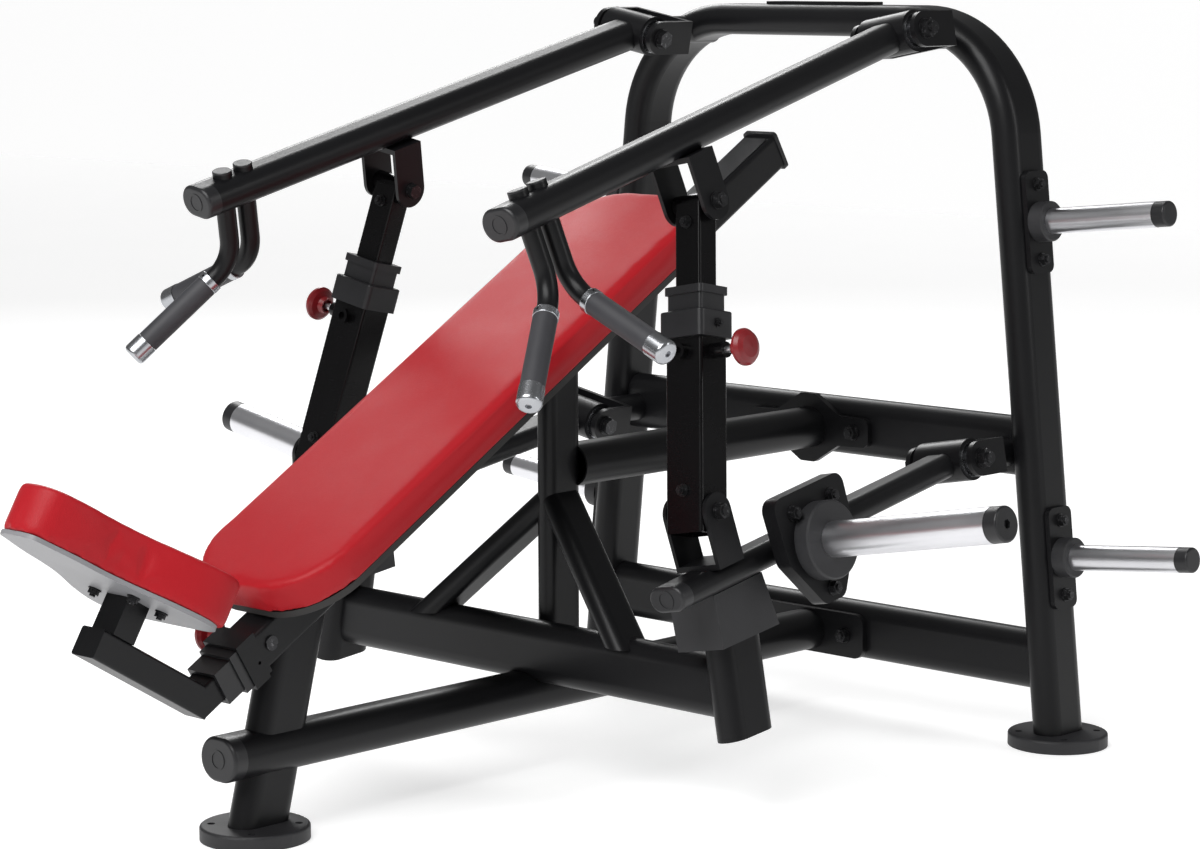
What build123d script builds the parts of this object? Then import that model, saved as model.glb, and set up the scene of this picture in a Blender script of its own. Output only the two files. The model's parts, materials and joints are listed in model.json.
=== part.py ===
# Converging chest press machine with an inclined bench, two plate-loaded
# weight levers and two press arms.  All sizes are in millimetres.
# X runs across the machine (mirror plane X = 0), -Y is the seat end,
# +Y is the rear arch and +Z is up.  The floor is Z = 0.
from build123d import *
from math import sin, cos, tan, radians, degrees, atan2, hypot
import os

os.makedirs("parts", exist_ok=True)

# ---------------------------------------------------------------- sizes
# All Y values below are measured from the arch plane; ARCH_Y moves the
# whole machine so that the origin is the middle of its footprint.
ARCH_Y = 749.15

# frame tube: flat-sided oval
FRAME_DEPTH = 90.0
FRAME_THICK = 48.0
WALL = 3.0
# longitudinal beam tube: a fuller oval
BEAM_W = 74.0
BEAM_H = 62.0
# centre post and braces: slim oval
SLIM_DEPTH = 70.0
SLIM_THICK = 35.0

# rear arch
ARCH_FOOT_X = 468.0          # half distance between the feet
ARCH_SPLAY = 5.95            # legs lean in by this many degrees
ARCH_TOP_Z = 1077.0          # centre line of the crown
ARCH_BEND_R = 185.0
REAR_LOW_Z = 124.5
REAR_HIGH_Z = 446.0

# feet
FOOT_D = 150.0
FOOT_H = 20.0
ANCHOR_PCD = 118.0
ANCHOR_D = 11.0

# spine, upper beam and posts
SPINE_Z = 118.0
SPINE_FRONT = -1246.0
UPPER_BEAM_Z = 441.0
FLANGE_T = 10.0
FRONT_FOOT_Y = -1183.0
FRONT_POST_LEAN = 14.6
CENTRE_POST_Y = -596.0
FRONT_BEAM_Y = -657.0
FRONT_BEAM_Z = 180.0

# bench: pad surface passes through (0, -1000, 479)
BENCH_ANGLE = 30.5
BENCH_Y = -1000.0
BENCH_Z = 479.0
PAD_W = 265.0
PAD_T = 48.0
PAD_LOW = -247.0
PAD_HIGH = 696.0
PAD_CORNER = 100.0
BOARD_T = 10.0
SUPPORT_T = 6.0
RAIL_W = 60.0
RAIL_H = 54.0
RAIL_WALL = 4.0
RAIL_LOW = -308.0
RAIL_HIGH = 944.0

# seat carriage
SLIDE_W = 46.0
SLIDE_H = 38.0
SEAT_ARM_H = 40.0
SEAT_ARM_LEN = 202.0
SEAT_VERTEX = -383.2         # along the bench, from the bench origin
SEAT_POST_AT = 168.0
SEAT_ARM_RISE = 31.2
SEAT_PLATE_UP = 72.0
SEAT_PLATE_T = 6.0
SEAT_PAD_T = 66.0
SLIDE_CLEAR = 0.4
SEAT_PIN_AT = -262.0

# linkage plane: leans out by LINK_TILT going down
LINK_TILT = 10.6
LINK_OFFSET = ARCH_FOOT_X - 16.0
PIVOT_A = (-155.0, ARCH_TOP_Z - 84.0)    # press arm pivot (y, up) in the linkage plane
PIVOT_D = (-160.0, REAR_HIGH_Z - 85.0)   # weight lever pivot
ARM_DROP = 15.05
ARM_CLEVIS = (-91.94, 520.73)            # strut bolt: below the arm's axis, and along it
LEVER_CLEVIS = (90.64, 548.64)           # lower strut bolt: above the lever's axis, and along it
ARM_LEN = 889.5
ARM_W = 64.0
ARM_H = 46.0
LEVER_DROP = 10.36
LEVER_LEN = 650.0
LEVER_W = 62.0
LEVER_H = 36.0
HUB_R = 31.0
HUB_HALF = 43.0
PIVOT_R = 8.0
PIVOT_CLEAR = 0.05
CAP_LEN = 22.0

# strut
INNER_W = 46.0
INNER_D = 36.0
OUTER_W = 66.0
OUTER_D = 54.0
STRUT_WALL = 3.0
OUTER_TOP = 160.0
OUTER_TAIL = 28.5             # how far the outer tube runs past its lower bolt
BUSH_TOP = 116.0
COLLAR_TOP = 150.0
COLLAR_END = 187.0
STRUT_PIN_AT = 207.0
EAR_T = 6.0
EAR_GAP_UP = 32.5            # inner face of the upper ears
EAR_GAP_LOW = 33.6           # inner face of the lower ears
EAR_R = 26.0
LINK_BOLT_R = 6.0
LINK_CLEAR = 0.25            # radial gap round a link bolt
WASHER_GAP = 0.25            # between a turning ear and the bolt's washers
OPEN_PIVOT_CLEAR = 5.0       # play of the lower strut eye round its bolt

# handles
HANDLE_R = 14.0
GRIP_R = HANDLE_R + 2.6
FITTING_R = HANDLE_R + 3.4
HANDLE_BEND = 62.0
GRIP_COLLAR = 12.0
GRIP_CAP = 30.0
FORWARD_AT = 838.0
OUTWARD_AT = 800.0
FORWARD_DROP = 107.0
OUTWARD_DROP = 115.0
FORWARD_REACH = (53.0, -109.4, 155.3)
OUTWARD_REACH = (165.0, -99.8, 37.2)

# weight horn
HORN_AT = 400.0
HORN_R = 25.0
SHIELD_ROOT = 49.0
HORN_ROOT = 72.2
HORN_END = 372.0
HORN_CAP_END = 394.0
DISC_R = 55.0
DISC_ROOT = 72.2
DISC_END = 96.0

# storage horns
STORE_R = 19.0
STORE_Z = (281.7, 780.6)
STORE_LEN = 241.6
STORE_PLATE = (56.0, 152.0, 8.0)
STORE_BOLT = 56.0

# pull knobs
KNOB_R = 25.5
PLUNGER_R = 5.0


# -------------------------------------------------------------- helpers
def oval_bar(width, thick, z0, z1):
    """Solid bar of flat-oval section: width along X, thickness along Y."""
    bar = extrude(SlotOverall(width, thick), amount=z1 - z0)
    return Pos(0, 0, z0) * bar


def oval_tube(width, thick, wall, z0, z1):
    """Hollow flat-oval tube along Z."""
    outer = oval_bar(width, thick, z0, z1)
    inner = oval_bar(width - 2 * wall, thick - 2 * wall, z0 - 1, z1 + 1)
    return outer - inner


def box_bar(x_size, y_size, z0, z1, radius=0.0):
    """Rectangular bar along Z with optional corner radius."""
    if radius > 0:
        sketch = RectangleRounded(x_size, y_size, radius)
    else:
        sketch = Rectangle(x_size, y_size)
    return Pos(0, 0, z0) * extrude(sketch, amount=z1 - z0)


def rod(radius, x0, x1):
    """Round bar along X."""
    bar = Cylinder(radius, x1 - x0, align=(Align.CENTER, Align.CENTER, Align.MIN))
    return Pos(x0, 0, 0) * Rot(0, 90, 0) * bar


def hex_bar(across_flats, x0, x1):
    """Hexagonal bar along X."""
    sketch = RegularPolygon(across_flats / 2, 6, major_radius=False)
    return Pos(x0, 0, 0) * Rot(0, 90, 0) * extrude(sketch, amount=x1 - x0)


def stud(radius, across_flats, head, washer_r, shaft, washer_t=2.5):
    """Fastener standing on the plane Z = 0: washer, hex head, shaft below."""
    washer = Cylinder(washer_r, washer_t, align=(Align.CENTER, Align.CENTER, Align.MIN))
    body = extrude(RegularPolygon(across_flats / 2, 6, major_radius=False), amount=head)
    nose = Cylinder(radius, head + washer_t + 3, align=(Align.CENTER, Align.CENTER, Align.MIN))
    solid = washer + Pos(0, 0, washer_t) * body + nose
    if shaft > 0:
        solid += Pos(0, 0, -shaft) * Cylinder(radius, shaft, align=(Align.CENTER, Align.CENTER, Align.MIN))
    return solid


def frame_at(origin, x_dir, z_dir):
    return Plane(origin=origin, x_dir=x_dir, z_dir=z_dir).location


def mirrored(shape):
    """The same piece on the -X side."""
    return mirror(shape, about=Plane.YZ)


def solids_of(shape):
    if isinstance(shape, (list, tuple, ShapeList)):
        found = []
        for item in shape:
            found += solids_of(item)
        return found
    return list(shape.solids())


def save(name, shape):
    """Write one node, moved so that the footprint is centred on the origin."""
    solids = [s.moved(Location((0, ARCH_Y, 0))) for s in solids_of(shape)]
    body = solids[0] if len(solids) == 1 else Compound(children=solids)
    body.label = name
    export_step(body, "parts/" + name + ".step")
    box = Compound(children=[s for s in solids]).bounding_box() if len(solids) > 1 else body.bounding_box()
    print(name, len(solids), "solid(s)", tuple(round(v, 1) for v in (*box.min, *box.max)))


# ------------------------------------------------------- working frames
tilt = radians(LINK_TILT)
LINK_X = Vector(cos(tilt), 0, sin(tilt))
LINK_Z = Vector(-sin(tilt), 0, cos(tilt))
LINK = frame_at((LINK_OFFSET * cos(tilt), 0, LINK_OFFSET * sin(tilt)), LINK_X, LINK_Z)


def link_frame(pivot, drop):
    """Frame at a linkage pivot: X outboard, Z forward and down by drop degrees."""
    fall = radians(drop)
    return LINK * frame_at((0, pivot[0], pivot[1]), (1, 0, 0), (0, -cos(fall), -sin(fall)))


def pivot_at(pivot, drop, height, reach):
    """A point in the linkage plane, given from another pivot's frame."""
    fall = radians(drop)
    y = pivot[0] - reach * cos(fall) - height * sin(fall)
    up = pivot[1] - reach * sin(fall) + height * cos(fall)
    return y, up


PIVOT_B = pivot_at(PIVOT_A, ARM_DROP, *ARM_CLEVIS)
PIVOT_C = pivot_at(PIVOT_D, LEVER_DROP, *LEVER_CLEVIS)
ARM = link_frame(PIVOT_A, ARM_DROP)
LEVER = link_frame(PIVOT_D, LEVER_DROP)
strut_drop = degrees(atan2(PIVOT_B[1] - PIVOT_C[1], PIVOT_B[0] - PIVOT_C[0]))
STRUT = link_frame(PIVOT_B, strut_drop)
STRUT_LEN = hypot(PIVOT_C[0] - PIVOT_B[0], PIVOT_C[1] - PIVOT_B[1])

slope = radians(BENCH_ANGLE)
BENCH = frame_at((0, BENCH_Y, BENCH_Z), (1, 0, 0), (0, -sin(slope), cos(slope)))
RAIL_TOP = -(PAD_T + BOARD_T + SUPPORT_T + 0.5)
RAIL_MID = RAIL_TOP - RAIL_H / 2


# ----------------------------------------------------------- rear arch
def arch_sweep(width, thick):
    rise = ARCH_TOP_Z
    lean_in = rise * tan(radians(ARCH_SPLAY))
    low = 60.0
    x_low = ARCH_FOOT_X + low * tan(radians(ARCH_SPLAY))
    x_top = ARCH_FOOT_X - lean_in
    path = FilletPolyline(
        (x_low, 0, -low), (x_top, 0, rise), (-x_top, 0, rise), (-x_low, 0, -low),
        radius=ARCH_BEND_R,
    )
    start = Plane(origin=path @ 0, x_dir=(0, 1, 0), z_dir=path % 0)
    return sweep(start * SlotOverall(width, thick), path=path)


def make_arch():
    outer = arch_sweep(FRAME_DEPTH, FRAME_THICK)
    inner = arch_sweep(FRAME_DEPTH - 2 * WALL, FRAME_THICK - 2 * WALL)
    below = Pos(0, 0, FOOT_H) * Box(1400, 300, 400, align=(Align.CENTER, Align.CENTER, Align.MAX))
    return outer, (outer - inner) - below


arch_outer, arch = make_arch()


def make_rear_crossbeam(z):
    beam = oval_tube(FRAME_DEPTH, FRAME_THICK, WALL, 8 - ARCH_FOOT_X, ARCH_FOOT_X - 8)
    beam = Pos(0, 0, z) * Rot(0, 90, 0) * beam
    keep = beam - arch_outer
    pieces = sorted(keep.solids(), key=lambda s: -s.volume)
    middle = [s for s in pieces if abs(s.center().X) < 50]
    return middle[0]


def leg_x(z):
    return ARCH_FOOT_X - z * tan(radians(ARCH_SPLAY))


# ---------------------------------------------------------------- feet
def make_foot(x, y):
    disc = Cylinder(FOOT_D / 2, FOOT_H, align=(Align.CENTER, Align.CENTER, Align.MIN))
    disc = fillet(disc.edges().group_by(Axis.Z)[-1], 4.0)
    for angle in (45, 135, 225, 315):
        hole = Cylinder(ANCHOR_D / 2, 60)
        disc -= Pos(ANCHOR_PCD / 2 * cos(radians(angle)), ANCHOR_PCD / 2 * sin(radians(angle)), 0) * hole
    return Pos(x, y, 0) * disc


# ---------------------------------------------- spine, beams and posts
def along_y(bar):
    """Turn a bar built along Z so that it runs along -Y to +Y."""
    return Rot(-90, 0, 0) * bar


spine_outer = Pos(0, 0, SPINE_Z) * along_y(oval_bar(BEAM_W, BEAM_H, SPINE_FRONT + CAP_LEN, -24 - FLANGE_T))
spine_hollow = Pos(0, 0, SPINE_Z) * along_y(oval_bar(BEAM_W - 6, BEAM_H - 6, SPINE_FRONT, 0))
spine = spine_outer - spine_hollow


def rounded_plate(width, height, thick, radius):
    """Plate in the XY plane, standing from Z = 0 upwards."""
    return extrude(RectangleRounded(width, height, radius), amount=thick)


# Facing frames: local Z points towards the seat end, local Y points up.
def facing_front(x, y, z):
    return frame_at((x, y, z), (-1, 0, 0), (0, -1, 0))


rear_front_face = -FRAME_THICK / 2
low_flange = facing_front(0, rear_front_face, SPINE_Z) * rounded_plate(230, 70, FLANGE_T, 18)
LOW_BOLT_X = 78.0
HIGH_BOLT_X = 92.0
for side in (-1, 1):
    low_flange -= Pos(side * LOW_BOLT_X, rear_front_face, SPINE_Z) * Rot(90, 0, 0) * Cylinder(6.1, 60)
spine = spine + low_flange

eye = Polygon(
    (-122, -22), (-62, -24), (-14, -54), (14, -54), (62, -24), (122, -22),
    (122, 22), (62, 24), (14, 54), (-14, 54), (-62, 24), (-122, 22))
eye = fillet(eye.vertices(), 12)
high_flange = facing_front(0, rear_front_face, UPPER_BEAM_Z) * extrude(eye, amount=FLANGE_T)
for side in (-1, 1):
    high_flange -= Pos(side * HIGH_BOLT_X, rear_front_face, UPPER_BEAM_Z) * Rot(90, 0, 0) * Cylinder(6.1, 60)

rail_outer = BENCH * Pos(0, (RAIL_LOW + RAIL_HIGH) / 2, RAIL_MID) * Box(RAIL_W, RAIL_HIGH - RAIL_LOW, RAIL_H)
post_outer = Pos(0, CENTRE_POST_Y, 0) * Rot(0, 0, 90) * oval_bar(SLIM_DEPTH, SLIM_THICK, SPINE_Z, 700)
post_inner = Pos(0, CENTRE_POST_Y, 0) * Rot(0, 0, 90) * oval_bar(SLIM_DEPTH - 6, SLIM_THICK - 6, SPINE_Z, 700)

UPPER_BEAM_FRONT = CENTRE_POST_Y + SLIM_DEPTH / 2 - 12
upper_outer = Pos(0, 0, UPPER_BEAM_Z) * along_y(oval_bar(BEAM_W, BEAM_H, UPPER_BEAM_FRONT, rear_front_face - FLANGE_T))
upper_inner = Pos(0, 0, UPPER_BEAM_Z) * along_y(oval_bar(BEAM_W - 6, BEAM_H - 6, CENTRE_POST_Y - 50, 0))
upper_beam = (upper_outer - post_outer - upper_inner)
upper_beam = sorted(upper_beam.solids(), key=lambda s: -s.volume)[0] + high_flange

# front beam with the two stop posts welded to its ends
front_beam_outer = Pos(0, FRONT_BEAM_Y, FRONT_BEAM_Z) * Rot(0, 90, 0) * oval_bar(
    FRAME_DEPTH, FRAME_THICK, 68 - ARCH_FOOT_X, ARCH_FOOT_X - 68)
front_beam_inner = Pos(0, FRONT_BEAM_Y, FRONT_BEAM_Z) * Rot(0, 90, 0) * oval_bar(
    FRAME_DEPTH - 2 * WALL, FRAME_THICK - 2 * WALL, 58 - ARCH_FOOT_X, ARCH_FOOT_X - 58)
STOP_L = -24.0
STOP_Y = -655.0
STOP_FOOT = 40.0
STOP_FRONT = (-720.0, 165.0)
STOP_BACK = (-600.0, 183.0)
STOP_HALF = 42.0


def stop_line(y):
    """Height of the post's sloping top at a given y."""
    along = (y - STOP_FRONT[0]) / (STOP_BACK[0] - STOP_FRONT[0])
    return STOP_FRONT[1] + along * (STOP_BACK[1] - STOP_FRONT[1])


def side_profile(points, x0, x1):
    """Extrude a (y, up) outline from the linkage plane between two X values."""
    outline = [Vector(0, p[0], p[1]) for p in points]
    face = make_face(Polyline(*outline, close=True))
    return Pos(x0, 0, 0) * extrude(face, amount=x1 - x0, dir=(1, 0, 0))


stop_post = Pos(STOP_L, STOP_Y, 0) * Rot(0, 0, 90) * oval_bar(FRAME_DEPTH, FRAME_THICK, STOP_FOOT - 20, 260)
above_post = side_profile(
    [(-760, stop_line(-760)), (-540, stop_line(-540)), (-540, 300), (-760, 300)], -100, 100)
below_post = side_profile([(-760, 0), (-540, 0), (-540, STOP_FOOT + 12), (-760, STOP_FOOT - 12)], -100, 100)
stop_post = LINK * (stop_post - above_post - below_post)
stop_posts = [stop_post, mirrored(stop_post)]
front_beam = front_beam_outer - stop_posts[0] - stop_posts[1] - front_beam_inner - spine_outer
front_beam = sorted(front_beam.solids(), key=lambda s: -s.volume)[0]
front_beam = front_beam + stop_posts[0] + stop_posts[1]

# centre post with two braces down to the front beam
centre_post = post_outer - post_inner - spine_outer - rail_outer
centre_post = [s for s in centre_post.solids() if 200 < s.center().Z < 500][0]
BRACE_LOW = (185.0, FRONT_BEAM_Y, 222.0)
BRACE_HIGH = (14.0, CENTRE_POST_Y - 4.0, 385.0)


def make_brace():
    low = Vector(*BRACE_LOW)
    high = Vector(*BRACE_HIGH)
    run = (high - low).normalized()
    place = Plane(origin=low, x_dir=(0, 1, 0), z_dir=run).location
    length = (high - low).length
    solid = place * oval_bar(SLIM_DEPTH - 4, SLIM_THICK, -60, length + 30)
    hollow = place * oval_bar(SLIM_DEPTH - 10, SLIM_THICK - 6, -70, length + 40)
    under = Pos(0, 0, BRACE_LOW[2] - 10) * Box(1000, 3000, 400, align=(Align.CENTER, Align.CENTER, Align.MAX))
    brace = solid - front_beam_outer - post_outer - hollow - under
    near_middle = (low + high) * 0.5
    return min(brace.solids(), key=lambda s: (s.center() - near_middle).length)


brace = make_brace()
centre_post = centre_post + brace + mirrored(brace)


# front post, leaning back, cut round the spine
def make_front_post():
    lean = frame_at((0, FRONT_FOOT_Y, 0), (1, 0, 0), (0, sin(radians(FRONT_POST_LEAN)), cos(radians(FRONT_POST_LEAN))))
    solid = lean * Rot(0, 0, 90) * oval_bar(FRAME_DEPTH, FRAME_THICK, -30, 420)
    hollow = lean * Rot(0, 0, 90) * oval_bar(FRAME_DEPTH - 6, FRAME_THICK - 6, -40, 430)
    floor = Pos(0, FRONT_FOOT_Y, FOOT_H) * Box(400, 400, 200, align=(Align.CENTER, Align.CENTER, Align.MAX))
    post = solid - hollow - floor - spine_outer - rail_outer
    pieces = sorted(post.solids(), key=lambda s: -s.volume)
    return [s for s in pieces if s.center().Z < 330 and abs(s.center().X) < 5 and s.volume > 5000][:2]


front_post = make_front_post()


# ----------------------------------------------------- end cap of a tube
def tube_cap(width, thick, z_end):
    """Closed end cap with a softened rim and a plain raised ring."""
    cap = oval_bar(width, thick, z_end - CAP_LEN, z_end)
    cap = fillet(cap.edges().group_by(Axis.Z)[-1], 5.0)
    plug = oval_bar(width - 2 * WALL - 1, thick - 2 * WALL - 1, z_end - CAP_LEN - 12, z_end - CAP_LEN)
    ring = Cylinder(13.5, 0.8, align=(Align.CENTER, Align.CENTER, Align.MIN))
    ring -= Cylinder(11.0, 5.0)
    return cap + plug + Pos(0, 0, z_end) * ring


spine_cap = Pos(0, SPINE_FRONT, SPINE_Z) * Rot(90, 0, 0) * tube_cap(BEAM_W, BEAM_H, 0)


# --------------------------------------------------------------- bench
def make_pad():
    length = PAD_HIGH - PAD_LOW
    pad = extrude(RectangleRounded(PAD_W, length, PAD_CORNER), amount=PAD_T)
    pad = fillet(pad.edges().group_by(Axis.Z)[-1], 10.0)
    pad = fillet(pad.edges().group_by(Axis.Z)[0], 4.0)
    return BENCH * Pos(0, (PAD_LOW + PAD_HIGH) / 2, -PAD_T) * pad


def make_board():
    length = PAD_HIGH - PAD_LOW - 12
    board = extrude(RectangleRounded(PAD_W - 12, length, PAD_CORNER - 6), amount=BOARD_T)
    return BENCH * Pos(0, (PAD_LOW + PAD_HIGH) / 2, -PAD_T - 0.3 - BOARD_T) * board


TAB_AT = (-150.0, 200.0, 560.0)


def make_rail():
    length = RAIL_HIGH - RAIL_LOW
    outer = extrude(RectangleRounded(RAIL_W, RAIL_H, 6), amount=length)
    inner = Pos(0, 0, -5) * extrude(RectangleRounded(RAIL_W - 2 * RAIL_WALL, RAIL_H - 2 * RAIL_WALL, 3), amount=length + 10)
    tube = Rot(-90, 0, 0) * outer
    hollow = Rot(-90, 0, 0) * inner
    rail = Pos(0, RAIL_LOW, RAIL_MID) * tube
    collar = Pos(0, RAIL_LOW + 14, RAIL_MID) * Box(68, 34, 71)
    collar -= Pos(0, RAIL_LOW + 31, RAIL_MID - 36) * Box(80, 12, 12)
    rail = rail + collar - Pos(0, RAIL_LOW, RAIL_MID) * hollow
    for at in TAB_AT:
        top = RAIL_TOP + SUPPORT_T - 0.1
        rail += Pos(0, at, (RAIL_TOP + top) / 2) * Box(90, 60, top - RAIL_TOP)
    barrel = Pos(0, SEAT_PIN_AT, RAIL_MID) * rod(12, -58, -RAIL_W / 2 + 2)
    rail += barrel
    rail -= Pos(0, SEAT_PIN_AT, RAIL_MID) * rod(PLUNGER_R + 0.05, -70, -20)
    rail -= Pos(0, RAIL_LOW + 19, RAIL_MID - 7) * rod(2.5, 30, 40)
    return BENCH * rail


def make_rail_bush():
    """Stepped plastic bush in the rail's lower end."""
    hole = Box(SLIDE_W + 2 * SLIDE_CLEAR, 400, SLIDE_H + 2 * SLIDE_CLEAR)
    flange = Pos(0, RAIL_LOW - 3 - 7, 0) * Box(62, 14, 60)
    nose = Pos(0, RAIL_LOW - 3 - 14 - 15, 0) * Box(56, 30, 50)
    sleeve = rounded_plate(RAIL_W - 2 * RAIL_WALL - 0.4, RAIL_H - 2 * RAIL_WALL - 0.4, 116, 3)
    sleeve = Pos(0, RAIL_LOW - 3, 0) * Rot(-90, 0, 0) * sleeve
    bush = flange + nose + sleeve - Pos(0, RAIL_LOW, 0) * hole
    bush -= Pos(0, SEAT_PIN_AT, 0) * rod(PLUNGER_R + 0.3, -40, 0)
    return BENCH * Pos(0, 0, RAIL_MID) * bush


def make_rail_trim():
    cap = Pos(0, RAIL_HIGH, RAIL_MID) * Rot(-90, 0, 0) * rounded_plate(63, 63, 7, 6)
    plug = Pos(0, RAIL_HIGH - 20, RAIL_MID) * Rot(-90, 0, 0) * rounded_plate(
        RAIL_W - 2 * RAIL_WALL - 1, RAIL_H - 2 * RAIL_WALL - 1, 21, 3)
    placard = Pos(0, 838, RAIL_TOP + 0.1) * rounded_plate(46, 196, 1.6, 6)
    return [BENCH * (cap + plug), BENCH * placard]


# ---------------------------------------------------------------- seat
vertex = BENCH * Pos(0, SEAT_VERTEX, RAIL_MID)
VERTEX = vertex.position
rise = radians(SEAT_ARM_RISE)
SEAT = frame_at((0, VERTEX.Y, VERTEX.Z), (1, 0, 0), (0, -cos(rise), sin(rise)))


def make_carriage():
    """Slide tube, kinked seat arm and short upright, welded together."""
    slide_len = 470.0
    slide = Pos(0, 0, 0) * box_bar(SLIDE_W, SLIDE_H, -60, slide_len, 4)
    slide_in = box_bar(SLIDE_W - 6, SLIDE_H - 6, -70, slide_len + 10, 2)
    arm = box_bar(SLIDE_W, SEAT_ARM_H, -60, SEAT_ARM_LEN, 4)
    arm_in = box_bar(SLIDE_W - 6, SEAT_ARM_H - 6, -70, SEAT_ARM_LEN - 3, 2)
    to_slide = BENCH * Pos(0, SEAT_VERTEX, RAIL_MID) * Rot(-90, 0, 0)
    # mitre plane: bisects the slide and the arm at their common vertex
    up_slide = Vector(0, cos(slope), sin(slope))
    up_arm = Vector(0, -cos(rise), sin(rise))
    across = (up_slide - up_arm).normalized()
    mitre = Plane(origin=(0, VERTEX.Y, VERTEX.Z), x_dir=(1, 0, 0), z_dir=across).location
    rear_half = mitre * Box(400, 1400, 700, align=(Align.CENTER, Align.CENTER, Align.MIN))
    front_half = mitre * Box(400, 1400, 700, align=(Align.CENTER, Align.CENTER, Align.MAX))
    slide = (to_slide * slide - to_slide * slide_in) - front_half
    arm_shell = (SEAT * arm - SEAT * arm_in) - rear_half
    upright = SEAT * Pos(0, SEAT_ARM_H / 2, SEAT_POST_AT) * Box(
        SLIDE_W, SEAT_PLATE_UP - SEAT_ARM_H / 2, 38, align=(Align.CENTER, Align.MIN, Align.CENTER))
    body = slide + arm_shell + upright
    for k in range(5):
        hole = Pos(0, SEAT_PIN_AT + k * 25.0, RAIL_MID) * rod(PLUNGER_R + 0.6, -40, 0)
        body -= BENCH * hole
    return body


SEAT_OUTLINE = (
    (0, 0), (70, 1), (108, 10), (125, 36), (120, 70), (102, 110),
    (79, 150), (64, 195), (57, 240), (43, 284), (0, 305),
)


def seat_shape(inset):
    """Tongue-shaped outline; inset shrinks it evenly enough for a plate."""
    length = SEAT_OUTLINE[-1][1]
    widest = 125.0
    points = [
        (x * (widest - inset) / widest, inset + y * (length - 2 * inset) / length) for x, y in SEAT_OUTLINE
    ]
    right = Spline(*points, tangents=[(1, 0), (-1, 0)])
    left = mirror(right, about=Plane.YZ)
    return make_face([right, left])


SEAT_REAR = 81.0
# seat plates lie in a frame whose Z is the seat's upward normal
SEAT_FLAT = SEAT * frame_at((0, 0, 0), (1, 0, 0), (0, 1, 0))


def seat_slab(inset, low, high):
    """Slab of the seat outline between two heights above the arm axis."""
    slab = extrude(seat_shape(inset), amount=high - low)
    return SEAT * frame_at((0, low, SEAT_REAR), (-1, 0, 0), (0, 1, 0)) * slab


def make_seat_pad():
    low = SEAT_PLATE_UP + SEAT_PLATE_T + 0.3
    flat = extrude(seat_shape(0), amount=SEAT_PAD_T)
    flat = fillet(flat.edges().group_by(Axis.Z)[-1], 8.0)
    return SEAT * frame_at((0, low, SEAT_REAR), (-1, 0, 0), (0, 1, 0)) * flat


def make_seat_plate():
    return seat_slab(8, SEAT_PLATE_UP, SEAT_PLATE_UP + SEAT_PLATE_T)


def make_seat_bolts():
    """Four hex screws under the plate, round the upright."""
    bolts = []
    for across in (-40, 40):
        for along in (-26, 26):
            spot = frame_at((across, SEAT_PLATE_UP, SEAT_POST_AT + along), (1, 0, 0), (0, -1, 0))
            bolts.append(SEAT * spot * stud(4.0, 13, 6, 9, 0, 2.0))
    return bolts


# ------------------------------------------------------------ pull pins
def make_plunger(nose, shoulder, knob_at):
    """Spring plunger along X: nose, and stem up to the knob."""
    return rod(PLUNGER_R, nose, knob_at + 6)


def make_knob(knob_at):
    """Mushroom knob, its stem side at knob_at, along +X."""
    profile = Polyline(
        (0, 6.2), (9, 6.2), (9, 0), (11, 0), (13, 8), (21, 11), (KNOB_R, 15),
        (KNOB_R, 19), (22, 24), (15, 27.5), (0, 29), (0, 6.2),
    )
    sketch = make_face(Plane.XZ * profile)
    body = revolve(sketch, Axis.Z)
    body -= Cylinder(PLUNGER_R + 0.05, 12.6)
    return Pos(knob_at, 0, 0) * Rot(0, 90, 0) * body


# -------------------------------------------------------------- linkage
bore_r = PIVOT_R + PIVOT_CLEAR


def hub():
    """Pivot barrel: thick ends with the bore, hollow in between."""
    barrel = rod(HUB_R, -HUB_HALF, HUB_HALF)
    barrel -= rod(bore_r, -HUB_HALF - 5, HUB_HALF + 5)
    barrel -= rod(HUB_R - 6, -HUB_HALF + 14, HUB_HALF - 14)
    return barrel


def hub_rings():
    """Bright flange rings on both faces of a hub."""
    rings = []
    for x0, x1 in ((-HUB_HALF - 3, -HUB_HALF), (HUB_HALF, HUB_HALF + 3)):
        rings.append(rod(26, x0, x1) - rod(bore_r, x0 - 1, x1 + 1))
    return rings


def ear(x0, x1, height, root, centre):
    """One clevis ear: round about the pin, straight back to the root."""
    plate = Pos(0, height, centre) * rod(EAR_R, x0, x1)
    low = min(height, root)
    high = max(height, root)
    leg = Pos((x0 + x1) / 2, (low + high) / 2, centre) * Box(x1 - x0, high - low, 2 * EAR_R)
    return plate + leg - Pos(0, height, centre) * rod(LINK_BOLT_R + LINK_CLEAR, x0 - 1, x1 + 1)


B_HEIGHT, B_REACH = ARM_CLEVIS
C_HEIGHT, C_REACH = LEVER_CLEVIS


def handle_paths():
    """Centre lines of the two handles in the arm's frame."""
    top = ARM_H / 2 + 7
    lines = []
    for at, drop, reach in (
        (FORWARD_AT, FORWARD_DROP, FORWARD_REACH),
        (OUTWARD_AT, OUTWARD_DROP, OUTWARD_REACH),
    ):
        bend = Vector(0, -drop, at)
        end = bend + Vector(*reach)
        lines.append((Vector(0, top, at), bend, end))
    return lines


def make_handle(top, bend, end):
    """Bent round tube from just above the arm to the start of its end cap."""
    leg = (end - bend).normalized()
    stop = end - leg * GRIP_CAP
    path = FilletPolyline(top, bend, stop, radius=HANDLE_BEND)
    start = Plane(origin=path @ 0, z_dir=path % 0)
    outer = sweep(start * Circle(HANDLE_R), path=path)
    inner = sweep(start * Circle(HANDLE_R - 3), path=path)
    return outer, outer - inner


def along_leg(bend, end):
    """Frame at the bend with Z running out along the grip."""
    leg = (end - bend).normalized()
    return Plane(origin=bend, z_dir=leg).location


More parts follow.
